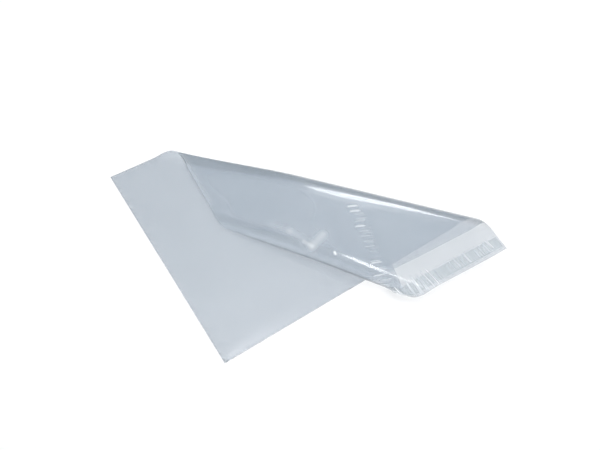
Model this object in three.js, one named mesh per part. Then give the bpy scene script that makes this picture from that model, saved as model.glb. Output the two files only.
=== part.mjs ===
// Flat polythene mailing bag with a self-seal flap, lying with its far side rolled over twice.
// Millimetres, +Z up, underside on z = 0, origin under the middle of the footprint.
// The bag is first drawn flat: u runs across it from its left side, v along it from its closed
// end, and h is the height in the flattened bag. Two half turns then carry it into the roll.
import * as THREE from 'three';

// Bag: one folded film, its front panel downwards and its back panel running on as the flap
const BAG_WIDTH = 240;
const BAG_DEPTH = 320;
const FLAP_DEPTH = 35;
const FILM_GAUGE = 0.06;
const AIR_GAP = 0.3;
const SEAM_WIDTH = 1.2;

// Seal strip on the flap's inner face: a band of adhesive under a puckered release liner
const STRIP_INSET = 10;
const STRIP_END_MARGIN = 2;
const ADHESIVE_WIDTH = 12;
const ADHESIVE_GAUGE = 0.08;
const LINER_WIDTH = 16;
const LINER_GAUGE = 0.08;
const BOND_GAP = 0.25;
const PUCKER_PITCH = 6.2;
const PUCKER_WIDTH = 2.6;
const PUCKER_HEIGHT = 0.7;
const PUCKER_LEAN = 0.1;

// Roll: where each fold line leaves the bag's edges, and how the layers lie
const OUTER_FOLD_LEFT = 50.7;
const OUTER_FOLD_RIGHT = 276.3;
const OUTER_RADIUS = 10.8;
const OUTER_WIDTHS = [1.2, 2];
const INNER_FOLD_LEFT = 167;
const INNER_FOLD_TOP = 149.6;
const INNER_WIDTHS = [1.6, 1];
const TUCK_CLEARANCE = 2.2;
const SAG_DEPTH = 0.8;
const PINCH_SHARE = 0.17;
const PINCH_REACH = 100;
const CURL_HEIGHT = 4;
const CURL_REACH = 20;

// Facets
const QUARTER_STEPS = 6;
const SAG_STEPS = 10;
const CURL_STEPS = 4;
const CROSS_PITCH = 20;
const STRIP_ROWS = 4;
const PUCKER_STEPS = 4;

const SHEET_LENGTH = BAG_DEPTH + FLAP_DEPTH;
const INNER_RADIUS = OUTER_RADIUS - TUCK_CLEARANCE / 2;
const FLAP_INNER_FACE = FILM_GAUGE + AIR_GAP;
const SHORTEST_EDGE = 1e-3;
const SAME_POINT = 1e-6;

// Way round a quarter of an oval of height 1 and the given width
const quarterGirth = (width) =>
  (Math.PI / 4) * (3 * (width + 1) - Math.sqrt((3 * width + 1) * (width + 3)));

// A fold line through two points of the flat bag: distance past it is n.(u, v) - c. The bend round
// it is two quarter ovals as high as its radius, each as wide as its share in widths says
function foldLine(from, to, radius, widths) {
  const along = new THREE.Vector2().subVectors(to, from).normalize();
  const n = new THREE.Vector2(-along.y, along.x);
  const [rise, fall] = widths.map((width) => radius * quarterGirth(width));
  const arc = rise + fall;
  const back = arc + radius * (widths[0] - widths[1]);
  return { n, along, c: n.dot(from), radius, widths, rise, arc, back };
}

const outer = foldLine(
  new THREE.Vector2(0, OUTER_FOLD_LEFT),
  new THREE.Vector2(BAG_WIDTH, OUTER_FOLD_RIGHT),
  OUTER_RADIUS,
  OUTER_WIDTHS,
);
const inner = foldLine(
  new THREE.Vector2(0, INNER_FOLD_LEFT),
  new THREE.Vector2(INNER_FOLD_TOP, SHEET_LENGTH),
  INNER_RADIUS,
  INNER_WIDTHS,
);
const past = (fold, q) => fold.n.dot(q) - fold.c;

// Distance the tucked-in layer reaches past the outer fold line once both turns are made
const tuckedIn = (q) => {
  const mirrored = q.clone().addScaledVector(inner.n, inner.back - 2 * past(inner, q));
  return outer.back - past(outer, mirrored);
};
const CORNER_REACH = tuckedIn(new THREE.Vector2(0, SHEET_LENGTH));

// One half turn: a sheet at height h, d past the fold line, comes back over itself
function halfTurn(d, h, fold, rigid) {
  if (d <= 0 && !rigid) return [d, h];
  if (d >= fold.arc || rigid) return [fold.back - d, 2 * fold.radius - h];
  const [first, second] = fold.widths;
  const rising = d < fold.rise;
  const turned = rising ? d / fold.rise : 1 + (d - fold.rise) / (fold.arc - fold.rise);
  const [out, up] = [Math.sin((Math.PI / 2) * turned), Math.cos((Math.PI / 2) * turned)];
  const reach = fold.radius - h;
  const shift = rising ? 0 : (first - second) * (fold.radius - h * out);
  return [(rising ? first : second) * reach * out + shift, fold.radius - reach * up];
}

// The top layer sags between its two bends, and the tucked-in corner rides up inside the outer one
function settle(q, dOuter, dInner) {
  if (dInner > inner.arc) {
    const rise = Math.max(0, tuckedIn(q) - CORNER_REACH + CURL_REACH) / CURL_REACH;
    return CURL_HEIGHT * rise * rise;
  }
  const fromOuter = dOuter - outer.arc;
  if (dInner >= 0 || fromOuter <= 0) return 0;
  const share = fromOuter / (fromOuter - dInner);
  return -SAG_DEPTH * Math.sin(Math.PI * share) ** 2;
}

// The roll is pressed flat at the bag's left side and opens to its full height further in
function press(q, dInner, z) {
  const foot = q.x - Math.max(0, dInner) * inner.n.x;
  const share = PINCH_SHARE + (1 - PINCH_SHARE) * THREE.MathUtils.smoothstep(foot, 0, PINCH_REACH);
  const kept = TUCK_CLEARANCE * (1 - Math.exp(-z / TUCK_CLEARANCE));
  return share * z + (1 - share) * kept;
}

// The two half turns, the inner one first
function turnOver(q, h) {
  const dInner = past(inner, q);
  const [backInner, hInner] = halfTurn(dInner, h, inner, false);
  const flat = q.clone().addScaledVector(inner.n, backInner - dInner);
  const dOuter = past(outer, flat);
  const [backOuter, z] = halfTurn(dOuter, hInner, outer, dInner > 0);
  flat.addScaledVector(outer.n, backOuter - dOuter);
  return new THREE.Vector3(flat.x, flat.y, z);
}

// Flat point (u, v, h) to its place in the rolled bag
function roll(u, v, h) {
  const q = new THREE.Vector2(u, v);
  const dInner = past(inner, q);
  const sheet = turnOver(q, 0);
  const point = turnOver(q, h);
  const lying = press(q, dInner, sheet.z + settle(q, past(outer, q), dInner));
  return point.setZ(lying + point.z - sheet.z);
}

// Lines on the flat bag along which its facets meet, each as a u + b v = c
const parallels = (fold) => Array.from({ length: 2 * QUARTER_STEPS + 1 }, (_, k) => {
  const [rising, falling] = [Math.min(k, QUARTER_STEPS), Math.max(0, k - QUARTER_STEPS)];
  const d = (fold.rise * rising + (fold.arc - fold.rise) * falling) / QUARTER_STEPS;
  return [fold.n.x, fold.n.y, fold.c + d];
});
const sagLines = Array.from({ length: SAG_STEPS - 1 }, (_, k) => {
  const share = (k + 1) / SAG_STEPS;
  const n = outer.n.clone().multiplyScalar(1 - share).addScaledVector(inner.n, share);
  return [n.x, n.y, (outer.c + outer.arc) * (1 - share) + inner.c * share];
});
const curlNormal = outer.n.clone().addScaledVector(inner.n, -2 * outer.n.dot(inner.n));
const curlLines = Array.from({ length: CURL_STEPS }, (_, k) => {
  const corner = curlNormal.dot(new THREE.Vector2(0, SHEET_LENGTH));
  return [curlNormal.x, curlNormal.y, corner + (CURL_REACH * (k + 1)) / CURL_STEPS];
});
const crossCount = Math.floor(Math.hypot(BAG_WIDTH, SHEET_LENGTH) / CROSS_PITCH);
const crossLines = Array.from({ length: crossCount }, (_, k) =>
  [outer.along.x, outer.along.y, (k + 1) * CROSS_PITCH]);
const FACET_LINES = [
  ...parallels(outer),
  ...sagLines,
  ...parallels(inner),
  ...curlLines,
  ...crossLines,
];

// Split one convex polygon by a line into the parts on its two sides. A line that passes very near a
// corner goes through it
function split(polygon, [a, b, c]) {
  const side = polygon.map(([u, v]) => a * u + b * v - c);
  if (side.every((s) => s > -SHORTEST_EDGE) || side.every((s) => s < SHORTEST_EDGE)) return [polygon];
  const low = [];
  const high = [];
  polygon.forEach((p, i) => {
    const j = (i + 1) % polygon.length;
    if (side[i] <= SHORTEST_EDGE) low.push(p);
    if (side[i] >= -SHORTEST_EDGE) high.push(p);
    const crosses = (side[i] < -SHORTEST_EDGE && side[j] > SHORTEST_EDGE)
      || (side[i] > SHORTEST_EDGE && side[j] < -SHORTEST_EDGE);
    if (!crosses) return;
    const share = side[i] / (side[i] - side[j]);
    const cut = p.map((x, axis) => x + share * (polygon[j][axis] - x));
    low.push(cut);
    high.push(cut);
  });
  return [low, high];
}

const splitAll = (polygons, lines) =>
  lines.reduce((cells, line) => cells.flatMap((cell) => split(cell, line)), polygons);

const rectangle = (u0, v0, u1, v1) => [[u0, v0], [u1, v0], [u1, v1], [u0, v1]];

// Closed skin of a stack of slabs over flat cells: heights(u, v) gives the slabs' faces, and
// filled(u, v) says which slabs are solid in the cell with that middle
function slabs(cells, heights, filled) {
  const corners = [];
  const met = [];
  const cornerNumber = ([u, v]) => {
    const same = ([a, b]) => Math.abs(u - a) < SAME_POINT && Math.abs(v - b) < SAME_POINT;
    const known = met.findIndex(same);
    return known < 0 ? met.push([u, v]) - 1 : known;
  };
  const numbers = cells.map((cell) => cell.map(cornerNumber));
  const solids = cells.map((cell) => {
    const middle = [0, 1].map((axis) => cell.reduce((sum, p) => sum + p[axis], 0) / cell.length);
    return filled(...middle);
  });
  const owner = new Map();
  numbers.forEach((cell, i) => cell.forEach((corner, k) => {
    owner.set(`${corner}>${cell[(k + 1) % cell.length]}`, i);
  }));
  const at = (p, level) => roll(...p, heights(...p)[level]);
  const facet = (...points) => corners.push(...points.flatMap((p) => p.toArray()));
  cells.forEach((cell, i) => solids[i].forEach((solid, level) => {
    if (!solid) return;
    const open = { below: !solids[i][level - 1], above: !solids[i][level + 1] };
    for (let k = 1; k + 1 < cell.length; k += 1) {
      const [p, q, r] = [cell[0], cell[k], cell[k + 1]];
      if (open.below) facet(at(p, level), at(r, level), at(q, level));
      if (open.above) facet(at(p, level + 1), at(q, level + 1), at(r, level + 1));
    }
    cell.forEach((p, k) => {
      const next = (k + 1) % cell.length;
      const q = cell[next];
      const beside = owner.get(`${numbers[i][next]}>${numbers[i][k]}`);
      if (beside !== undefined && solids[beside][level]) return;
      facet(at(p, level), at(q, level), at(q, level + 1));
      facet(at(p, level), at(q, level + 1), at(p, level + 1));
    });
  }));
  const geometry = new THREE.BufferGeometry();
  geometry.setAttribute('position', new THREE.Float32BufferAttribute(corners, 3));
  geometry.computeVertexNormals();
  return geometry;
}

// Film: front and back panels a little apart, joined along three sides and open at the mouth
const uSteps = [0, SEAM_WIDTH, BAG_WIDTH - SEAM_WIDTH, BAG_WIDTH];
const vSteps = [0, SEAM_WIDTH, BAG_DEPTH, SHEET_LENGTH];
const panels = uSteps.slice(1).flatMap((u, i) =>
  vSteps.slice(1).map((v, j) => rectangle(uSteps[i], vSteps[j], u, v)));
const filmFaces = [0, FILM_GAUGE, FLAP_INNER_FACE, FLAP_INNER_FACE + FILM_GAUGE];
const filmGeometry = slabs(
  splitAll(panels, FACET_LINES),
  () => filmFaces,
  (u, v) => {
    const onFlap = v > BAG_DEPTH;
    const onSeam = u < SEAM_WIDTH || u > BAG_WIDTH - SEAM_WIDTH || v < SEAM_WIDTH;
    return [!onFlap, onSeam && !onFlap, true];
  },
);

// Adhesive: a flat band along the flap
const stripMiddle = SHEET_LENGTH - STRIP_INSET;
const adhesiveTop = FLAP_INNER_FACE - BOND_GAP;
const strip = (width) => rectangle(
  STRIP_END_MARGIN,
  stripMiddle - width / 2,
  BAG_WIDTH - STRIP_END_MARGIN,
  stripMiddle + width / 2,
);
const adhesiveGeometry = slabs(
  splitAll([strip(ADHESIVE_WIDTH)], FACET_LINES),
  () => [adhesiveTop - ADHESIVE_GAUGE, adhesiveTop],
  () => [true],
);

// Liner: the same band a little wider, standing off in slanting puckers of uneven height
const golden = (k, shift) => (k * 0.618 + shift) % 1;
const puckerCount = Math.floor((BAG_WIDTH - 2 * STRIP_END_MARGIN) / PUCKER_PITCH) - 1;
const puckers = Array.from({ length: puckerCount }, (_, k) => ({
  middle: BAG_WIDTH / 2 + (k - (puckerCount - 1) / 2) * PUCKER_PITCH,
  lean: PUCKER_LEAN * (2 * golden(k, 0.3) - 1),
  height: PUCKER_HEIGHT * (0.5 + 0.5 * golden(k, 0)),
}));
const acrossPucker = (pucker, u, v) => u - pucker.middle - pucker.lean * (v - stripMiddle);
const puckerLines = puckers.flatMap((pucker) =>
  Array.from({ length: PUCKER_STEPS + 1 }, (_, k) => {
    const offset = PUCKER_WIDTH * (k / PUCKER_STEPS - 0.5);
    return [1, -pucker.lean, pucker.middle + offset - pucker.lean * stripMiddle];
  }));
const rowLines = Array.from({ length: STRIP_ROWS - 1 }, (_, k) =>
  [0, 1, stripMiddle + LINER_WIDTH * ((k + 1) / STRIP_ROWS - 0.5)]);
function puckerRise(u, v) {
  const nearest = Math.round((u - BAG_WIDTH / 2) / PUCKER_PITCH + (puckerCount - 1) / 2);
  const pucker = puckers[THREE.MathUtils.clamp(nearest, 0, puckerCount - 1)];
  const across = acrossPucker(pucker, u, v) / PUCKER_WIDTH;
  if (Math.abs(across) >= 0.5) return 0;
  const along = Math.cos((Math.PI * (v - stripMiddle)) / LINER_WIDTH);
  return pucker.height * Math.cos(Math.PI * across) ** 2 * along;
}
const linerTop = adhesiveTop - ADHESIVE_GAUGE - BOND_GAP;
const linerGeometry = slabs(
  splitAll([strip(LINER_WIDTH)], [...rowLines, ...puckerLines, ...FACET_LINES]),
  (u, v) => [linerTop - LINER_GAUGE - puckerRise(u, v), linerTop - puckerRise(u, v)],
  () => [true],
);

const part = new THREE.Group();
function add(name, geometry, look) {
  const material = new THREE.MeshStandardMaterial({ metalness: 0, transparent: true, ...look });
  const mesh = new THREE.Mesh(geometry, material);
  mesh.name = name;
  part.add(mesh);
}
add('bag_film', filmGeometry, { color: 0xafbfcd, roughness: 0.28, opacity: 0.55 });
add('adhesive_strip', adhesiveGeometry, { color: 0xcfd8de, roughness: 0.45, opacity: 0.5 });
add('release_liner', linerGeometry, { color: 0xd9e1e8, roughness: 0.2, opacity: 0.5 });

// The footprint's middle goes to the origin
const box = new THREE.Box3().setFromObject(part);
const shift = box.getCenter(new THREE.Vector3()).setZ(box.min.z).negate();
part.children.forEach((mesh) => mesh.geometry.translate(shift.x, shift.y, shift.z));

export default part;
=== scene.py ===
# %% [markdown]
# # A flat poly bag, rolled over twice
# The object is an empty mailing bag of thin polythene film. It lies on a table with its far side
# rolled over loosely. Everything here is worked out on the flat bag first, with u across it and v
# along it, and a formula then carries each point into the roll. That way the film keeps its size.

# %% Load the measured frame
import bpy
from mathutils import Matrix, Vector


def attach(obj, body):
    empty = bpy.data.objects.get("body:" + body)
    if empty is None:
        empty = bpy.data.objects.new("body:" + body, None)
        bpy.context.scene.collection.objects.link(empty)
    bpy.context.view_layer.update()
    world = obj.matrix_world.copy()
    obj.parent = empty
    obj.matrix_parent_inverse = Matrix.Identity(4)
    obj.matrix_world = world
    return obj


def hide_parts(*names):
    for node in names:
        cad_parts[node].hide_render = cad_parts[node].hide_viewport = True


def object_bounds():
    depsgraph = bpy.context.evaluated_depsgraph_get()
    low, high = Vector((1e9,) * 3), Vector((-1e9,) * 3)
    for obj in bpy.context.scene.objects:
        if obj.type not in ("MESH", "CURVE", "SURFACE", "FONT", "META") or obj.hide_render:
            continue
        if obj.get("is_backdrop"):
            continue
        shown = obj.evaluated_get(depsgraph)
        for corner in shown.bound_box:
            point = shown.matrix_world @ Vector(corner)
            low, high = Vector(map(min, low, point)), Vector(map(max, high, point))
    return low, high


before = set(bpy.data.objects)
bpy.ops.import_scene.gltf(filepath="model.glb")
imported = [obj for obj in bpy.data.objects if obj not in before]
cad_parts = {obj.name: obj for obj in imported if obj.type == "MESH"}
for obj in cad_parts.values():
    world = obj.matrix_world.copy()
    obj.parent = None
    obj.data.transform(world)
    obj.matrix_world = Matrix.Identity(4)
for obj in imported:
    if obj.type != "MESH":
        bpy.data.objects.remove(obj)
cad_low, cad_high = (list(corner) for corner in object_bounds())

import bpy
import bmesh
import numpy as np
from mathutils import Matrix

MM = 0.001
print("measured box in mm:", [round(float(b - a) / MM, 1) for a, b in zip(cad_low, cad_high)])

# %% [markdown]
# ## The bag laid flat
# One web of film is folded at the closed end and welded down both sides. Its front panel is shorter
# than its back panel, which runs on as a flap with a seal strip. A designer would note these few
# lengths and draw everything from them, so they come first, in millimetres.

# %% Sizes of the flat bag
BAG_WIDTH, BAG_DEPTH, FLAP_DEPTH = 240.0, 320.0, 35.0
SHEET_LENGTH = BAG_DEPTH + FLAP_DEPTH
FILM_GAUGE = 0.06
STRIP_INSET, STRIP_MARGIN = 10.0, 2.0
STRIP_MIDDLE = SHEET_LENGTH - STRIP_INSET
PUCKER_PITCH = 6.2
print("flat web:", BAG_WIDTH, "by", BAG_DEPTH + SHEET_LENGTH, "mm")

# %% [markdown]
# ## Two slanting folds
# The far side is turned over along an outer fold line, and its end is tucked back under along an
# inner one. Each line is stored as a unit normal n and an offset c: the distance of a point past the
# fold is n.p - c. Film bends round a radius instead of creasing, and a loose bend is wider than high,
# so each bend is two quarter ovals. Their widths are given in radii, first the rising quarter's.

# %% Fold lines
# The outer fold crosses both sides of the bag at these v, the inner one the left side and the flap's end.
OUTER_LEFT_V, OUTER_RIGHT_V = 50.7, 276.3
INNER_LEFT_V, INNER_END_U = 167.0, 149.6
OUTER_RADIUS, OUTER_WIDTHS = 10.8, (1.2, 2.0)
TUCK_CLEARANCE = 2.2
INNER_RADIUS, INNER_WIDTHS = OUTER_RADIUS - TUCK_CLEARANCE / 2, (1.6, 1.0)


def quarter_girth(width):
    """Way round a quarter oval of height 1 and the given width, by Ramanujan's formula."""
    return np.pi / 4 * (3 * (width + 1) - np.sqrt((3 * width + 1) * (width + 3)))


def bend_lengths(radius, widths):
    """Film used by a bend's first quarter and by both, and the d that lies over the line again."""
    first, second = widths
    rise = quarter_girth(first) * radius
    arc = rise + quarter_girth(second) * radius
    return rise, arc, arc + (first - second) * radius


def fold_line(start, end):
    """Unit normal n, to the left of the way from start to end, and offset c = n.start."""
    way = np.subtract(end, start) / np.linalg.norm(np.subtract(end, start))
    normal = np.array([-way[1], way[0]])
    return normal, float(normal @ np.asarray(start, float))


outer_n, outer_c = fold_line((0, OUTER_LEFT_V), (BAG_WIDTH, OUTER_RIGHT_V))
inner_n, inner_c = fold_line((0, INNER_LEFT_V), (INNER_END_U, SHEET_LENGTH))
OUTER_ARC, OUTER_BACK = bend_lengths(OUTER_RADIUS, OUTER_WIDTHS)[1:]
INNER_ARC, INNER_BACK = bend_lengths(INNER_RADIUS, INNER_WIDTHS)[1:]
print("film in the bends in mm:", round(OUTER_ARC, 1), round(INNER_ARC, 1))

# %% [markdown]
# ## Rolling a flat point
# Turning a sheet over only changes its course across the fold. Round a plain rod, a point d past the
# line would go r sin(d / r) along and r - r cos(d / r) up. Round the ovals it is the same with a width
# for each quarter, and beyond the half turn the sheet runs back upside down. A cloth simulation could
# find some such roll too, but a formula gives the very one that was measured.

# %% Half turns
def half_turn(d, h, radius, widths, turned):
    """A sheet at height h, d past the line: straight on, round two quarter ovals, or back again.

    Where turned is true the sheet lies inside the bend, and only its run back is used."""
    first, second = widths
    rise, arc, back = bend_lengths(radius, widths)
    angle = np.pi / 2 * (np.clip(d / rise, 0, 1) + np.clip((d - rise) / (arc - rise), 0, 1))
    reach, out = radius - h, np.sin(angle)
    shift = (first - second) * (radius - h * out)
    across = np.select([d < 0, d < rise, d < arc],
                       [d, first * reach * out, second * reach * out + shift], back - d)
    height = np.where(d < 0, h, radius - reach * np.cos(angle))
    return np.where(turned, back - d, across), np.where(turned, 2 * radius - h, height)


def turn_over(p, h):
    """Both half turns of flat points p (..., 2) at height h: the inner one first."""
    d_inner = p @ inner_n - inner_c
    across, height = half_turn(d_inner, h, INNER_RADIUS, INNER_WIDTHS, np.zeros_like(d_inner, bool))
    q = p + (across - d_inner)[..., None] * inner_n
    d_outer = q @ outer_n - outer_c
    across, height = half_turn(d_outer, height, OUTER_RADIUS, OUTER_WIDTHS, d_inner > 0)
    return q + (across - d_outer)[..., None] * outer_n, height


print("height of the outer bend in mm:", 2 * OUTER_RADIUS)

# %% [markdown]
# ## How the roll lies
# Film is limp. The top layer hangs a little between its two bends, the tucked-in corner curls up
# inside the outer bend, and the left end of the roll is pressed nearly flat. All panels also lie in
# slow waves, which give the sheen its life. Each of these only changes a point's height, so they are
# short formulas added up after the half turns.

# %% Sag, curl, press and waves
SAG_DEPTH, PINCH_SHARE, PINCH_REACH = 0.8, 0.17, 100.0
CURL_HEIGHT, CURL_REACH = 4.0, 20.0
WAVE_HEIGHT, WAVE_LIFT, WAVE_FADE = 0.10, 1.5, 30.0
SLOW_WAVE, CROSS_WAVE, QUICK_WAVE, QUICK_SHARE = (17.0, 23.0), (29.0, -19.0), (11.0, -37.0), 0.5
NO_LENGTH = 1e-9


def ease(x):
    """Smooth step: 3 x^2 - 2 x^3 with x held between 0 and 1."""
    x = np.clip(x, 0, 1)
    return x * x * (3 - 2 * x)


def tucked_reach(p):
    """How far the tucked-in layer reaches back past the outer fold line."""
    mirrored = p + (INNER_BACK - 2 * (p @ inner_n - inner_c))[..., None] * inner_n
    return OUTER_BACK - (mirrored @ outer_n - outer_c)


CORNER_REACH = tucked_reach(np.array([0.0, SHEET_LENGTH]))


def settle(p):
    """Sag -S sin^2(pi s), s the share of the way between the bends, and the corner's curl."""
    d_inner = p @ inner_n - inner_c
    from_outer = np.maximum(p @ outer_n - outer_c - OUTER_ARC, 0)
    share = from_outer / np.maximum(from_outer + np.maximum(-d_inner, 0), NO_LENGTH)
    sag = np.where(d_inner < 0, -SAG_DEPTH * np.sin(np.pi * share) ** 2, 0)
    rise = np.maximum(0, tucked_reach(p) - CORNER_REACH + CURL_REACH) / CURL_REACH
    return sag + np.where(d_inner > INNER_ARC, CURL_HEIGHT * rise ** 2, 0)


def press(p, z):
    """Height z squeezed towards the left side: share z + (1 - share) t (1 - exp(-z / t)).

    Here t is the clearance, so heights below it are kept and the rest is pressed down."""
    foot = p[..., 0] - np.maximum(0, p @ inner_n - inner_c) * inner_n[0]
    share = PINCH_SHARE + (1 - PINCH_SHARE) * ease(foot / PINCH_REACH)
    return share * z + (1 - share) * TUCK_CLEARANCE * (1 - np.exp(-z / TUCK_CLEARANCE))


def wave(p, lengths):
    """sin(u / a + v / b) for the lengths a and b."""
    return np.sin(p[..., 0] / lengths[0] + p[..., 1] / lengths[1])


def loose_lie(p):
    """Slow waves: a product of two sines and part of a third, fading out towards the bends.

    They are lifted by their full depth, so that none dips below the table."""
    flat = ease((outer_c - p @ outer_n) / WAVE_FADE)
    top = ease((p @ outer_n - outer_c - OUTER_ARC) / WAVE_FADE) * ease((inner_c - p @ inner_n) / WAVE_FADE)
    waves = wave(p, SLOW_WAVE) * wave(p, CROSS_WAVE) + QUICK_SHARE * wave(p, QUICK_WAVE)
    return WAVE_HEIGHT * (WAVE_LIFT + waves * (flat + top))


def roll(p, h):
    """Flat points p (..., 2) at height h in the flat bag to their place in the rolled one, in mm."""
    h = np.broadcast_to(h, p.shape[:-1])
    plan, height = turn_over(p, h)
    sheet = turn_over(p, np.zeros_like(h))[1]
    lying = press(p, sheet + settle(p)) + loose_lie(p)
    return np.concatenate([plan, (lying + height - sheet)[..., None]], axis=-1)


print("tucked-in corner reaches back in mm:", round(float(CORNER_REACH), 1))

# %% [markdown]
# ## A grid that follows the bends
# A rolled sheet is straight along its rulings, so the grid's rows are those straight lines on the flat
# bag: parallel to the outer fold, then fanning over to the inner one. Rows then never cut across a
# bend, and the bends come out smooth with few faces. A station numbers the rulings from the corner
# that lies flat to the corner that is tucked in.

# %% Rulings of the flat bag
FAN = 80.0
near_corner = np.array([BAG_WIDTH, 0.0])
OUTER_END = outer_c + OUTER_ARC - outer_n @ near_corner
INNER_START = OUTER_END + FAN


def station(place):
    """Which ruling a flat point lies on: mm past the near corner, with the fan counted as FAN mm."""
    p = np.asarray(place, float)
    d, e = p @ outer_n - outer_c - OUTER_ARC, p @ inner_n - inner_c
    if d <= 0:
        return float((p - near_corner) @ outer_n)
    return float(OUTER_END + FAN * d / (d - e)) if e < 0 else float(INNER_START + e)


def ruling(s):
    """Line n.p = c of each station: both folds' lines, mixed by the share of the fan passed."""
    share = np.clip((s - OUTER_END) / FAN, 0, 1)
    n = outer_n + share[:, None] * (inner_n - outer_n)
    in_fan = (outer_c + OUTER_ARC) * (1 - share) + inner_c * share
    c = np.where(s < OUTER_END, s + outer_n @ near_corner, in_fan + np.maximum(0, s - INNER_START))
    return n, c


def along_rulings(s, t, top):
    """Flat points t of the way along each ruling, from where it enters the panel to where it leaves."""
    n, c = ruling(s)
    way = np.stack([n[:, 1], -n[:, 0]], axis=1)
    foot = n * (c / (n * n).sum(1))[:, None]
    enter = np.max((0 - foot) / way, axis=1)
    leave = np.maximum(enter, np.min((np.array([BAG_WIDTH, top]) - foot) / way, axis=1))
    reach = enter[:, None] + (leave - enter)[:, None] * t
    return foot[:, None, :] + reach[..., None] * way[:, None, :]


print("station of the tucked-in corner:", round(station((0, SHEET_LENGTH)), 1))

# %% [markdown]
# ## Rows and columns
# The rows stop exactly at the bag's corners and at the start and end of each bend, and between two
# stops they are evenly spaced, closer in the bends. The first step is short, so that the tip of the
# near corner stays small. Columns crowd a little towards both ends of each ruling, where the welded
# sides need a narrow edge.

# %% Stations of the rows
COLUMNS, EDGE_CROWDING = 140, 0.08
CORNER_STEP = 1.0
steps = np.linspace(0, 1, COLUMNS + 1)
t_along = steps - EDGE_CROWDING * np.sin(2 * np.pi * steps)
# Each stop: its station and how many rows lead up to it.
stops = [(0.0, 0),
         (CORNER_STEP, 2),
         (station((0, 0)), 32),
         (outer_c - outer_n @ near_corner, 10),
         (station((BAG_WIDTH, BAG_DEPTH)), 20),
         (OUTER_END, 4),
         (station((BAG_WIDTH, SHEET_LENGTH)), 10),
         (INNER_START, 28),
         (INNER_START + INNER_ARC, 22),
         (station((0, BAG_DEPTH)), 12),
         (station((0, SHEET_LENGTH)), 8)]
stretches = [np.linspace(a[0], b[0], b[1] + 1)[1:] for a, b in zip(stops, stops[1:])]
stations = np.concatenate([[0.0]] + stretches)
front_rows = sum(count for _, count in stops[:-1]) + 1
print("rulings:", len(stations), "of which on the front panel:", front_rows)

# %% [markdown]
# ## Meshes from grids
# Blender takes a mesh as a list of points and a list of corners for each face. For a grid both are
# whole numpy arrays. The flat place of each point is kept as the UV map, so patterns follow the film.
# A Solidify modifier gives the skin its gauge, which is simpler than modelling both of its faces.

# %% Grid helpers
MERGE_WITHIN, EMPTY_BELOW = 1e-6, 1e-7
SIDE_SAMPLES = 500
left_side = np.stack([np.zeros(SIDE_SAMPLES), np.linspace(0, SHEET_LENGTH, SIDE_SAMPLES)], axis=1)
origin = np.array([cad_low[0], cad_low[1], 0.0])
origin[:2] -= roll(left_side, 0.0)[:, :2].min(axis=0) * MM


def grid_faces(rows, columns, first=0, upward=True):
    """Corners of the quads of a grid of rows by columns points, counted from first."""
    k = first + np.arange(rows * columns).reshape(rows, columns)
    quads = np.stack([k[:-1, :-1], k[:-1, 1:], k[1:, 1:], k[1:, :-1]], axis=-1).reshape(-1, 4)
    return quads if upward else quads[:, ::-1]


def film_object(name, points, flat, faces, gauge, material):
    """A piece of film: points and their flat places in mm, faces and thickness."""
    mesh = bpy.data.meshes.new(name)
    mesh.from_pydata(points.reshape(-1, 3) * MM + origin, [], faces)
    corner = np.empty(len(mesh.loops), np.int32)
    mesh.loops.foreach_get("vertex_index", corner)
    uv = mesh.uv_layers.new(name="flat")
    uv.uv.foreach_set("vector", (flat.reshape(-1, 2) * MM)[corner].astype(np.float32).ravel())
    shell = bmesh.new()
    shell.from_mesh(mesh)
    bmesh.ops.remove_doubles(shell, verts=shell.verts, dist=MERGE_WITHIN)
    bmesh.ops.dissolve_degenerate(shell, edges=shell.edges, dist=EMPTY_BELOW)
    shell.to_mesh(mesh)
    shell.free()
    mesh.shade_smooth()
    mesh.materials.append(material)
    piece = bpy.data.objects.new(name, mesh)
    bpy.context.collection.objects.link(piece)
    wall = piece.modifiers.new("film gauge", "SOLIDIFY")
    wall.thickness, wall.offset, wall.use_even_offset = gauge * MM, -1.0, False
    print(name, len(mesh.vertices), "points", len(mesh.polygons), "faces")
    return piece


print("flat corner of the closed end in mm:", (origin[:2] / MM).round(1).tolist())

# %% [markdown]
# ## How film looks
# Low-density polythene is milky and slightly blue. It hides a little of what lies under it, so two
# layers look denser than one, and its satin skin carries a broad sheen and sharp glints. All the film
# pieces share one unevenness, faint streaks along the web and soft clouds, so it is a node group. A
# picture could give it too, but noise has no edges and no fixed resolution. Two small helpers come
# first, because a graph of nodes is easier to read as sums.

# %% Shared unevenness of the film
STREAK_SCALE, STREAK_DRAW, STREAK_DETAIL = 60.0, 0.08, 3.0
CLOUD_SCALE, CLOUD_DETAIL = 9.0, 2.0


def feed(tree, sockets, values):
    """Join or set sockets in turn: each value is another socket of the tree or a plain value."""
    for socket, value in zip(sockets, values):
        if isinstance(value, bpy.types.NodeSocket):
            tree.links.new(value, socket)
        else:
            socket.default_value = value


def sums(tree, operation, *values):
    """A Math node; gives its result."""
    node = tree.nodes.new("ShaderNodeMath")
    node.operation = operation
    feed(tree, node.inputs, values)
    return node.outputs["Value"]


def flat_uv(tree):
    """The UV map that keeps each point's flat place, in metres."""
    place = tree.nodes.new("ShaderNodeUVMap")
    place.uv_map = "flat"
    return place.outputs["UV"]


def soft_noise(tree, place, scale, detail):
    """A noise texture; gives its value, 0 to 1."""
    node = tree.nodes.new("ShaderNodeTexNoise")
    feed(tree, (node.inputs["Vector"], node.inputs["Scale"], node.inputs["Detail"]), (place, scale, detail))
    return node.outputs["Fac"]


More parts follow.
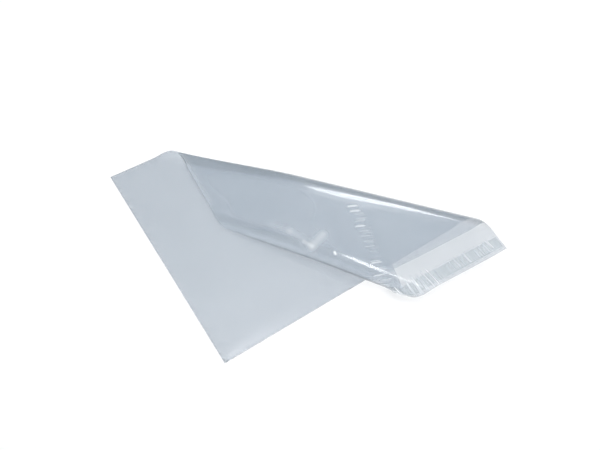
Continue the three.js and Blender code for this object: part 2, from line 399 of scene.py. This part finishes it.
def film_grain_group():
    """Node group: streaks (noise drawn out along the web), clouds (soft noise) and their sum."""
    tree = bpy.data.node_groups.new("film_grain", "ShaderNodeTree")
    for socket, value in (("Streak Scale", STREAK_SCALE), ("Cloud Scale", CLOUD_SCALE)):
        made = tree.interface.new_socket(socket, in_out="INPUT", socket_type="NodeSocketFloat")
        made.default_value = value
    for socket in ("Streak", "Cloud", "Height"):
        tree.interface.new_socket(socket, in_out="OUTPUT", socket_type="NodeSocketFloat")
    given = tree.nodes.new("NodeGroupInput").outputs
    drawn = tree.nodes.new("ShaderNodeMapping")
    drawn.inputs["Scale"].default_value = (1.0, STREAK_DRAW, 1.0)
    tree.links.new(flat_uv(tree), drawn.inputs["Vector"])
    streak = soft_noise(tree, drawn.outputs["Vector"], given["Streak Scale"], STREAK_DETAIL)
    cloud = soft_noise(tree, flat_uv(tree), given["Cloud Scale"], CLOUD_DETAIL)
    height = sums(tree, "ADD", streak, cloud)
    feed(tree, tree.nodes.new("NodeGroupOutput").inputs, (streak, cloud, height))
    return tree


film_grain = film_grain_group()
print("node group:", film_grain.name)

# %% [markdown]
# ## Painted glints and a welded rim
# Small dents near the inner bend catch the light as a star-shaped glint with a soft sheen round it, and
# a light band along the inner fold is a painted reflection of the table: these are painted highlights.
# A light rim on the welded side is drawn the same way. Modelled as geometry they would be finer than
# the film's own gauge, so they are marks in its material, placed on the flat bag in millimetres. Each
# is a straight line that fades out to both sides, and one node group draws them all: it takes a flat
# place and gives the whiteness there.

# %% Node group for a painted glint line
# Each line: start and end on the flat bag, the width it fades over in mm, and its whiteness.
# All but the welded rim are painted highlights, and the milky film round the star is a painted sheen.
GLINT_AND_RIM_LINES = [((56, 233), (67, 259), 7.0, 0.11),  # left arm of the star
           ((67, 259), (82, 254), 8.0, 0.20),  # its right arm
           ((62, 250), (67, 259), 3.0, 0.14),  # its sharp tip
           ((41, 210), (56, 233), 6.0, 0.06),  # the left arm's faint end
           ((82, 276), (82, 278), 2.0, 0.70),  # a single glint
           ((0, 75), (0, 160), 9.0, 0.15),  # rim of the welded side
           ((54, 225), (80, 250), 25.0, 0.07),  # milky film round the star
           ((20, 213), (120, 339), 7.0, 0.09)]  # light band along the inner fold


def vectors(tree, operation, *values):
    """A Vector Math node; gives its vector, or its number where the operation makes one."""
    node = tree.nodes.new("ShaderNodeVectorMath")
    node.operation = operation
    feed(tree, node.inputs, values)
    return node.outputs["Value" if operation in ("DOT_PRODUCT", "LENGTH") else "Vector"]


def ranged(tree, value, from_ends, to_ends, smooth=False):
    """A Map Range node: carries the first range to the second and stops at its ends."""
    node = tree.nodes.new("ShaderNodeMapRange")
    node.interpolation_type = "SMOOTHSTEP" if smooth else "LINEAR"
    feed(tree, node.inputs, (value, *from_ends, *to_ends))
    return node.outputs["Result"]


def fade(tree, value, near, far, full=1.0):
    """Smooth step down from full at near to 0 at far."""
    return ranged(tree, value, (near, far), (full, 0.0), smooth=True)


def scaled(tree, vector, share):
    """A vector made share times as long."""
    node = tree.nodes.new("ShaderNodeVectorMath")
    node.operation = "SCALE"
    feed(tree, (node.inputs["Vector"], node.inputs["Scale"]), (vector, share))
    return node.outputs["Vector"]


def mark_group(name, extra):
    """A node group with a flat place in mm and extra inputs, and one whiteness from 0 to 1 as output."""
    tree = bpy.data.node_groups.new(name, "ShaderNodeTree")
    tree.interface.new_socket("Flat Place", in_out="INPUT", socket_type="NodeSocketVector")
    for socket, kind in extra:
        tree.interface.new_socket(socket, in_out="INPUT", socket_type=kind)
    tree.interface.new_socket("White", in_out="OUTPUT", socket_type="NodeSocketFloat")
    given, made = tree.nodes.new("NodeGroupInput"), tree.nodes.new("NodeGroupOutput")
    return tree, given.outputs, made.inputs["White"]


def glint_and_rim_line_group():
    """A soft line from one flat place to another, for the painted glints and the welded rim: 1 on the line,
    0 at its width from it.
    """
    ends = (("From", "NodeSocketVector"), ("To", "NodeSocketVector"), ("Width", "NodeSocketFloat"))
    tree, given, white = mark_group("glint_and_rim_line", ends)
    gone = vectors(tree, "SUBTRACT", given["Flat Place"], given["From"])
    way = vectors(tree, "SUBTRACT", given["To"], given["From"])
    length_squared = vectors(tree, "DOT_PRODUCT", way, way)
    share = sums(tree, "DIVIDE", vectors(tree, "DOT_PRODUCT", gone, way), length_squared)
    share.node.use_clamp = True
    aside = vectors(tree, "LENGTH", vectors(tree, "SUBTRACT", gone, scaled(tree, way, share)))
    tree.links.new(fade(tree, aside, 0.0, given["Width"]), white)
    return tree


glint_and_rim_line = glint_and_rim_line_group()
print("node group:", glint_and_rim_line.name, "for", len(GLINT_AND_RIM_LINES), "glint_and_rim_lines")

# %% [markdown]
# ## Ticks of the seal strip, painted glints
# The strip's clear liner stands off in short puckers, and each one catches the light as a white tick
# across the strip. The puckers are modelled below, and each tick's white is also a painted glint in
# the material. One group draws the whole row: the pitch repeats an oval, noise shifts it, and white
# noise of the tick's number gives each its own place and strength.

# %% Node group for the ticks' painted glints
TICK_HALF_WIDTH, TICK_REACH, TICK_SHIFT, TICK_LEAN = 1.0, 6.6, 5.5, 0.12
TICK_WANDER, WANDER_LENGTH = 5.0, 2.5 * PUCKER_PITCH
FAINT_TICK, BOLD_TICK, TICK_CORE = 0.15, 0.85, 0.15
# Near the inner fold line the painted tick glints are longer and bolder. Past the far distance they are
# plain.
BEND_NEAR, BEND_FAR = 0.2 * INNER_ARC, 0.6 * INNER_ARC
BEND_REACH, BEND_BOLDER = 7.7, 0.9


def past_line(tree, place, normal, offset):
    """Distance n.p - c of a flat place past a line."""
    return sums(tree, "SUBTRACT", vectors(tree, "DOT_PRODUCT", place, (*normal, 0)), offset)


def nearest_tick(tree, u, across):
    """Distance from the nearest tick's middle line, and a fixed random value of that tick."""
    leaned = sums(tree, "MULTIPLY_ADD", across, -TICK_LEAN, u)
    uneven = tree.nodes.new("ShaderNodeTexNoise")
    uneven.noise_dimensions = "1D"
    tree.links.new(sums(tree, "DIVIDE", leaned, WANDER_LENGTH), uneven.inputs["W"])
    along = sums(tree, "MULTIPLY_ADD", uneven.outputs["Fac"], TICK_WANDER, leaned)
    own = tree.nodes.new("ShaderNodeTexWhiteNoise")
    own.noise_dimensions = "1D"
    tree.links.new(sums(tree, "ROUND", sums(tree, "DIVIDE", along, PUCKER_PITCH)), own.inputs["W"])
    from_middle = sums(tree, "WRAP", along, PUCKER_PITCH / 2, -PUCKER_PITCH / 2)
    return sums(tree, "ABSOLUTE", from_middle), own.outputs["Value"]


def seal_tick_glints_group():
    """A tick's painted glint is the soft oval (a / half width)^2 + (b / reach)^4 < 1, a along the strip and
    b across.
    """
    tree, given, white = mark_group("seal_tick_glints", ())
    place = given["Flat Place"]
    split = tree.nodes.new("ShaderNodeSeparateXYZ")
    tree.links.new(place, split.inputs["Vector"])
    u, v = split.outputs["X"], split.outputs["Y"]
    across = sums(tree, "SUBTRACT", v, STRIP_MIDDLE)
    from_middle, own = nearest_tick(tree, u, across)
    past_fold = past_line(tree, place, inner_n, inner_c)
    bend = fade(tree, sums(tree, "ABSOLUTE", past_fold), BEND_NEAR, BEND_FAR)
    aside = sums(tree, "DIVIDE", from_middle, TICK_HALF_WIDTH)
    shift = sums(tree, "MULTIPLY_ADD", own, TICK_SHIFT, -TICK_SHIFT / 2)
    off_middle = sums(tree, "ABSOLUTE", sums(tree, "ADD", across, shift))
    reach = sums(tree, "DIVIDE", off_middle, sums(tree, "MULTIPLY_ADD", bend, BEND_REACH, TICK_REACH))
    oval = sums(tree, "ADD", sums(tree, "POWER", aside, 2.0), sums(tree, "POWER", reach, 4.0))
    strength = sums(tree, "MULTIPLY_ADD", sums(tree, "POWER", own, 2.0), BOLD_TICK, FAINT_TICK)
    strength = sums(tree, "MULTIPLY", strength, sums(tree, "MULTIPLY_ADD", bend, BEND_BOLDER, 1.0))
    inside = sums(tree, "MULTIPLY", sums(tree, "GREATER_THAN", u, STRIP_MARGIN),
                  sums(tree, "LESS_THAN", u, BAG_WIDTH - STRIP_MARGIN))
    ticks = sums(tree, "MULTIPLY", fade(tree, oval, TICK_CORE, 1.0), strength)
    tree.links.new(sums(tree, "MULTIPLY", ticks, inside), white)
    return tree


seal_tick_glints = seal_tick_glints_group()
print("node group:", seal_tick_glints.name, "with", len(seal_tick_glints.nodes), "nodes")

# %% [markdown]
# ## Which piece bears which mark
# The liner bears the ticks' painted glints, and the bag bears them twice: on the flap over the strip,
# and on the top layer where the tucked-in strip presses through. That second place is the strip's own,
# mirrored at the inner fold, so the group is simply asked for the mirrored place. Along the folds,
# bands of painted shade darken the film.

# %% Marks of the bag and the liner
# On the top layer the ticks have this share of their white, and lie this much nearer the closed end.
PRESSED_THROUGH, TICK_DRIFT = 0.6, 11.0
# Each band of painted shade: its fold's normal, its middle line, how far it reaches to both sides in mm,
# and its depth.
FOLD_SHADES = [(outer_n, outer_c + 31.0, 10.0, 0.55),
               (inner_n, inner_c + 20.5, 3.0, 0.90),
               (inner_n, inner_c + 5.5, 5.0, 0.25)]


def flat_place(tree):
    """The place on the flat bag in mm."""
    return vectors(tree, "MULTIPLY", flat_uv(tree), (1 / MM, 1 / MM, 1 / MM))


def marked_by(tree, group, *values):
    """The whiteness that a mark's node group gives for these inputs."""
    node = tree.nodes.new("ShaderNodeGroup")
    node.node_tree = group
    feed(tree, node.inputs, values)
    return node.outputs["White"]


def liner_tick_glints(tree):
    """The liner's painted tick glints."""
    return marked_by(tree, seal_tick_glints, flat_place(tree))


def bag_glints_and_rim(tree):
    """Painted tick glints at the flat place p and at p + (back - 2 d) n, mirrored at the inner fold, and
    the painted glint lines and welded rim.
    """
    place = flat_place(tree)
    to_mirrored = sums(tree, "MULTIPLY_ADD", past_line(tree, place, inner_n, inner_c), -2.0, INNER_BACK)
    mirrored = vectors(tree, "ADD", place, scaled(tree, (*inner_n, 0), to_mirrored))
    below = vectors(tree, "ADD", mirrored, (0, TICK_DRIFT, 0))
    white = sums(tree, "MULTIPLY_ADD", marked_by(tree, seal_tick_glints, below), PRESSED_THROUGH,
                 marked_by(tree, seal_tick_glints, place))
    for start, end, width, strength in GLINT_AND_RIM_LINES:
        line = marked_by(tree, glint_and_rim_line, place, (*start, 0), (*end, 0), width)
        white = sums(tree, "MULTIPLY_ADD", line, strength, white)
    return white


def fold_shade(tree):
    """The deepest of the bands of painted shade at a place, 0 to 1."""
    place, deepest = flat_place(tree), 0.0
    for normal, middle, reach, depth in FOLD_SHADES:
        from_middle = sums(tree, "ABSOLUTE", past_line(tree, place, normal, middle))
        deepest = sums(tree, "MAXIMUM", fade(tree, from_middle, reach / 2, reach, depth), deepest)
    return deepest


print("bands along the folds:", len(FOLD_SHADES))

# %% [markdown]
# ## Film materials
# A glass shader would be true for clear sheets, but thin milky film mostly hides and scatters, so each
# material is a Principled shader with Alpha below 1: every layer hides a share of what lies behind it,
# more at a glancing angle. Film passes on most of the light it scatters, so it shades other layers
# less than it hides them. Light Path tells rays that bring light from those that the eye sends out,
# and the film lets them pass more easily. A clear coat adds the sharp glints over the satin sheen.

# %% Polythene, adhesive and liner
# The white of the painted glints and ticks and of the welded rim, and the colour of the painted shade along
# the folds.
GLINT_AND_RIM_WHITE, FOLD_SHADE_COLOUR = (0.90, 0.92, 0.94, 1), (0.17, 0.21, 0.25, 1)
GLANCE_START = 0.5
BUMP_STRENGTH, BUMP_DEPTH = 0.05, 0.0004
FILM_IOR, FILM_SPECULAR, COAT_WEIGHT, COAT_ROUGHNESS = 1.51, 0.9, 1.0, 0.09


def blend(tree, share, first, second):
    """A Mix node for colours: first where share is 0, second where it is 1."""
    node = tree.nodes.new("ShaderNodeMix")
    node.data_type = "RGBA"
    feed(tree, (node.inputs["Factor"], node.inputs["A"], node.inputs["B"]), (share, first, second))
    return node.outputs["Result"]


def film_material(name, pale, deep, body, edge_on, rough, shade, paint_glints_and_rim=None, paint_fold_shade=None):
    """Film of two near colours that hides by body face on and by edge_on at a glancing angle.

    Painted glints and the welded rim make it whiter, and painted shade makes it darker along the folds. For
    rays that only bring light it hides shade times as much."""
    material = bpy.data.materials.new(name)
    material.use_nodes = True
    tree = material.node_tree
    skin = tree.nodes["Principled BSDF"]
    grain = tree.nodes.new("ShaderNodeGroup")
    grain.node_tree = film_grain
    glance = tree.nodes.new("ShaderNodeLayerWeight")
    hiding = ranged(tree, glance.outputs["Facing"], (GLANCE_START, 1.0), (body, edge_on))
    colour = blend(tree, grain.outputs["Cloud"], (*deep, 1), (*pale, 1))
    # Painted shade along the folds: the colour is mixed towards a dark tone.
    if paint_fold_shade:
        colour = blend(tree, paint_fold_shade(tree), colour, FOLD_SHADE_COLOUR)
    # Painted glints, ticks and the welded rim: the colour is mixed towards white, and the film hides more
    # there.
    if paint_glints_and_rim:
        white = paint_glints_and_rim(tree)
        colour = blend(tree, white, colour, GLINT_AND_RIM_WHITE)
        hiding = sums(tree, "ADD", hiding, white)
        hiding.node.use_clamp = True
    light = tree.nodes.new("ShaderNodeLightPath").outputs
    bringing = sums(tree, "ADD", light["Is Shadow Ray"], light["Is Diffuse Ray"])
    bringing = sums(tree, "ADD", bringing, light["Is Glossy Ray"])
    passing = ranged(tree, bringing, (0.0, 1.0), (1.0, shade))
    bump = tree.nodes.new("ShaderNodeBump")
    bump.inputs["Strength"].default_value = BUMP_STRENGTH
    bump.inputs["Distance"].default_value = BUMP_DEPTH
    tree.links.new(grain.outputs["Height"], bump.inputs["Height"])
    varying = {"Base Color": colour, "Alpha": sums(tree, "MULTIPLY", hiding, passing),
               "Roughness": ranged(tree, grain.outputs["Streak"], (0.0, 1.0), rough),
               "Normal": bump.outputs["Normal"]}
    plain = {"IOR": FILM_IOR, "Specular IOR Level": FILM_SPECULAR, "Coat Weight": COAT_WEIGHT,
             "Coat Roughness": COAT_ROUGHNESS}
    for socket, value in (varying | plain).items():
        feed(tree, (skin.inputs[socket],), (value,))
    return material


polythene = film_material("polythene film", pale=(0.36, 0.42, 0.485), deep=(0.31, 0.37, 0.435),
                          body=0.32, edge_on=0.75, rough=(0.30, 0.40), shade=0.12,
                          paint_glints_and_rim=bag_glints_and_rim, paint_fold_shade=fold_shade)
tacky = film_material("clear adhesive", pale=(0.38, 0.455, 0.49), deep=(0.34, 0.405, 0.44),
                      body=0.28, edge_on=0.45, rough=(0.30, 0.45), shade=0.3)
clear_liner = film_material("clear liner", pale=(0.62, 0.68, 0.74), deep=(0.54, 0.60, 0.66),
                            body=0.08, edge_on=0.5, rough=(0.10, 0.22), shade=0.3,
                            paint_glints_and_rim=liner_tick_glints)
print("materials:", [material.name for material in (polythene, tacky, clear_liner)])

# %% [markdown]
# ## The bag's film
# Front and back panels are two grids over the same rulings. They lie a little apart in the middle and
# meet exactly on the three closed sides, where their points merge, so the bag is one skin, open only
# at its mouth. Two separate sheets would be simpler, but their edges would never meet cleanly.

# %% Bag film
PANEL_GAP, CLOSING = 0.35, 14.0
GAP_EVEN, GAP_UNEVEN, GAP_WAVE = 0.8, 0.2, (13.0, 31.0)
FLOAT = 0.05


def panel_gap(p):
    """Height between the panels: full inside, easing to nothing at the closed end and both sides."""
    u, v = p[..., 0], p[..., 1]
    edge = np.minimum(np.minimum(u, BAG_WIDTH - u), v)
    return PANEL_GAP * ease(edge / CLOSING) * (GAP_EVEN + GAP_UNEVEN * wave(p, GAP_WAVE))


back_flat = along_rulings(stations, t_along, SHEET_LENGTH)
front_flat = along_rulings(stations[:front_rows], t_along, BAG_DEPTH)
back = roll(back_flat, FLOAT + panel_gap(back_flat))
front = roll(front_flat, FLOAT)
film_points = np.concatenate([back.reshape(-1, 3), front.reshape(-1, 3)])
film_flat = np.concatenate([back_flat.reshape(-1, 2), front_flat.reshape(-1, 2)])
back_quads = grid_faces(*back.shape[:2])
front_quads = grid_faces(*front.shape[:2], first=back.shape[0] * back.shape[1], upward=False)
film_quads = np.concatenate([back_quads, front_quads])
bag = film_object("bag_skin", film_points, film_flat, film_quads, FILM_GAUGE, polythene)

# %% [markdown]
# ## The seal strip
# A band of adhesive runs along the flap's inner face, under a clear peel-off liner. The liner has a
# little slack and stands off the band in short puckers, which catch the light as a row of ticks. Both
# are plain grids on the flat flap, carried through the same roll as the film, so they stay on it round
# the inner bend. The liner's grid is fine along the strip, so that each pucker has its round top.

# %% Adhesive and liner
ADHESIVE_WIDTH, ADHESIVE_OFFSET, ADHESIVE_GAUGE = 12.0, 0.15, 0.08
LINER_WIDTH, LINER_OFFSET, LINER_GAUGE = 16.0, 0.35, 0.06
ADHESIVE_GRID, LINER_GRID = (150, 8), (590, 16)
PUCKER_WIDTH, PUCKER_HEIGHT, PUCKER_LEAN = 2.6, 0.7, 0.1
LOWEST_SHARE, BEND_HIGHER = 0.5, 1.2
# Steps of the golden ratio spread the puckers' heights, and an offset keeps their leans apart from them.
PUCKER_SPREAD, LEAN_OFFSET = 0.618, 0.3


def strip_grid(width, counts):
    """Flat points of a band along the flap, width wide, with counts of steps along and across it."""
    u = np.linspace(STRIP_MARGIN, BAG_WIDTH - STRIP_MARGIN, counts[0] + 1)
    v = STRIP_MIDDLE + width * (np.linspace(0, 1, counts[1] + 1) - 0.5)
    return np.stack(np.meshgrid(u, v), axis=-1)


def puckers(p):
    """Ridges cos^2 across their width, in mm, highest where the strip goes round the inner bend."""
    u, v = p[..., 0], p[..., 1] - STRIP_MIDDLE
    count = int((BAG_WIDTH - 2 * STRIP_MARGIN) // PUCKER_PITCH) - 1
    k = np.clip(np.round((u - BAG_WIDTH / 2) / PUCKER_PITCH + (count - 1) / 2), 0, count - 1)
    middle = BAG_WIDTH / 2 + (k - (count - 1) / 2) * PUCKER_PITCH
    own = (k * PUCKER_SPREAD) % 1
    lean = PUCKER_LEAN * (2 * ((own + LEAN_OFFSET) % 1) - 1)
    ridge = np.cos(np.pi * np.clip((u - middle - lean * v) / PUCKER_WIDTH, -0.5, 0.5)) ** 2
    bent = np.sin(np.pi * np.clip((p @ inner_n - inner_c) / INNER_ARC, 0, 1)) ** 2
    height = PUCKER_HEIGHT * (LOWEST_SHARE + (1 - LOWEST_SHARE) * own) * (1 + BEND_HIGHER * bent)
    return height * ridge * np.cos(np.pi * v / LINER_WIDTH)


band = strip_grid(ADHESIVE_WIDTH, ADHESIVE_GRID)
band_points = roll(band, FLOAT + panel_gap(band) - ADHESIVE_OFFSET)
adhesive = film_object("seal_adhesive", band_points, band, grid_faces(*band.shape[:2]),
                       ADHESIVE_GAUGE, tacky)
cover = strip_grid(LINER_WIDTH, LINER_GRID)
cover_points = roll(cover, FLOAT + panel_gap(cover) - LINER_OFFSET - puckers(cover))
liner = film_object("seal_liner", cover_points, cover, grid_faces(*cover.shape[:2]),
                    LINER_GAUGE, clear_liner)

# %% [markdown]
# ## The table
# The bag lies on a plain white table. It is one large plane just under the film, matt, so that it
# shows the bag's soft shadow and no reflection. A curved backdrop could stand here instead, but from
# above the camera only sees the table.

# %% Table
TABLE_SIZE, TABLE_DROP, TABLE_WHITE, TABLE_ROUGHNESS = 6.0, 0.0003, 0.93, 0.9
bpy.ops.mesh.primitive_plane_add(size=TABLE_SIZE, location=(0, 0, -TABLE_DROP))
table = bpy.context.object
table.name = "table"
table_top = bpy.data.materials.new("white table")
table_top.use_nodes = True
matt = table_top.node_tree.nodes["Principled BSDF"]
matt.inputs["Base Color"].default_value = (TABLE_WHITE, TABLE_WHITE, TABLE_WHITE, 1)
matt.inputs["Roughness"].default_value = TABLE_ROUGHNESS
matt.inputs["Specular IOR Level"].default_value = 0.0
table.data.materials.append(table_top)
table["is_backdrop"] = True
print("table:", TABLE_SIZE, "m square")

# %% [markdown]
# ## Lamps
# Glossy film shows its shape by what it mirrors. Two soft boxes are enough: one behind the bag lies in
# the mirror direction of the outer bend and draws its long glint, and a small one overhead does the
# same for the inner bend. Each is aimed with its long side along the glint that it makes.

# %% Two soft boxes
scene = bpy.context.scene
scene.view_settings.view_transform = "Standard"
# A ray crosses two faces for each layer of film, so it may pass more of them than usual.
scene.cycles.transparent_max_bounces = 48
scene.cycles.max_bounces = 16


def soft_box(name, place, aim, along, size, power):
    """An area lamp at place, facing aim, with its long side along the given way."""
    data = bpy.data.lights.new(name, "AREA")
    data.shape, data.size, data.size_y, data.energy = "RECTANGLE", size[0], size[1], power
    back = np.subtract(place, aim) / np.linalg.norm(np.subtract(place, aim))
    side = np.array(along) - (np.array(along) @ back) * back
    side /= np.linalg.norm(side)
    lamp = bpy.data.objects.new(name, data)
    bpy.context.collection.objects.link(lamp)
    turn = Matrix(np.stack([side, np.cross(back, side), back], axis=1)).to_4x4()
    lamp.matrix_world = Matrix.Translation(place) @ turn
    return lamp


overhead = soft_box("overhead box", place=(-0.01, 0.11, 1.2), aim=(0.06, 0, 0), along=(0.98, -0.2, 0),
                    size=(0.38, 0.20), power=3.0)
behind = soft_box("back box", place=(-0.92, 1.22, 1.2), aim=(0, 0.05, 0), along=(-0.22, 0.97, 0),
                  size=(0.80, 0.36), power=9.5)
print("lamps:", [lamp.name for lamp in (overhead, behind)])

# %% [markdown]
# ## The room
# The rest of the light comes from a pale room, bright overhead and on the near side and darker near
# the far horizon. That gives the film its change of tone from front to back. A picture of a real
# studio would do the same, but one dot product with the bright direction is enough. For the eye the
# room is plain white, so that low views have a white background, while the film still mirrors its
# darker side along the bends.

# %% World
ROOM_COLOUR = (0.98, 0.99, 1.0, 1)
# Up, leaning towards the near right side.
BRIGHT_WAY = (0.4836, -0.43485, 1.0)
DIM_AT, BRIGHT_AT = 0.05, 0.95
DIM, BRIGHT = 0.15, 1.15
room = bpy.data.worlds.new("room")
room.use_nodes = True
scene.world = room
air = room.node_tree
look = air.nodes.new("ShaderNodeTexCoord")
toward = vectors(air, "DOT_PRODUCT", look.outputs["Generated"], BRIGHT_WAY)
glow = ranged(air, toward, (DIM_AT, BRIGHT_AT), (DIM, BRIGHT), smooth=True)
to_eye = air.nodes.new("ShaderNodeLightPath").outputs["Is Camera Ray"]
background = air.nodes["Background"]
background.inputs["Color"].default_value = ROOM_COLOUR
air.links.new(sums(air, "MAXIMUM", glow, to_eye), background.inputs["Strength"])
print("room strength from", DIM, "to", BRIGHT)

# %% [markdown]
# ## The camera
# The camera looks down on the bag from its near right side, turned a little about its own axis. Its
# place and angles were fitted to the corners of the bag in the picture. The place is counted from the
# flat bag's closed left corner, and a focal length in pixels becomes a lens through the sensor width.

# %% Camera
FOCAL_PIXELS, IMAGE_WIDTH, SENSOR_WIDTH = 609.03, 600, 36.0
CAMERA_PLACE = (401.04, -82.48, 541.79)
HEADING, TILT, BANK = np.radians((48.033, 31.646, 9.589))
camera_data = bpy.data.cameras.new("camera")
camera_data.sensor_width = SENSOR_WIDTH
camera_data.lens = FOCAL_PIXELS / IMAGE_WIDTH * SENSOR_WIDTH
camera = bpy.data.objects.new("camera", camera_data)
bpy.context.collection.objects.link(camera)
stand = np.array(CAMERA_PLACE) * MM + origin
turn = Matrix.Rotation(HEADING, 4, "Z") @ Matrix.Rotation(TILT, 4, "X") @ Matrix.Rotation(BANK, 4, "Z")
camera.matrix_world = Matrix.Translation(stand) @ turn
scene.camera = camera
print("camera at", stand.round(3).tolist())

# %% [markdown]
# ## Attaching the pieces
# Each piece rides on the part's one body and stands for its measured solid.

for piece, node, slot in ((bag, "bag_film", "polythene_film"), (adhesive, "adhesive_strip", "adhesive"),
                          (liner, "release_liner", "liner_film")):
    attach(piece, "root")
    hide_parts(node)
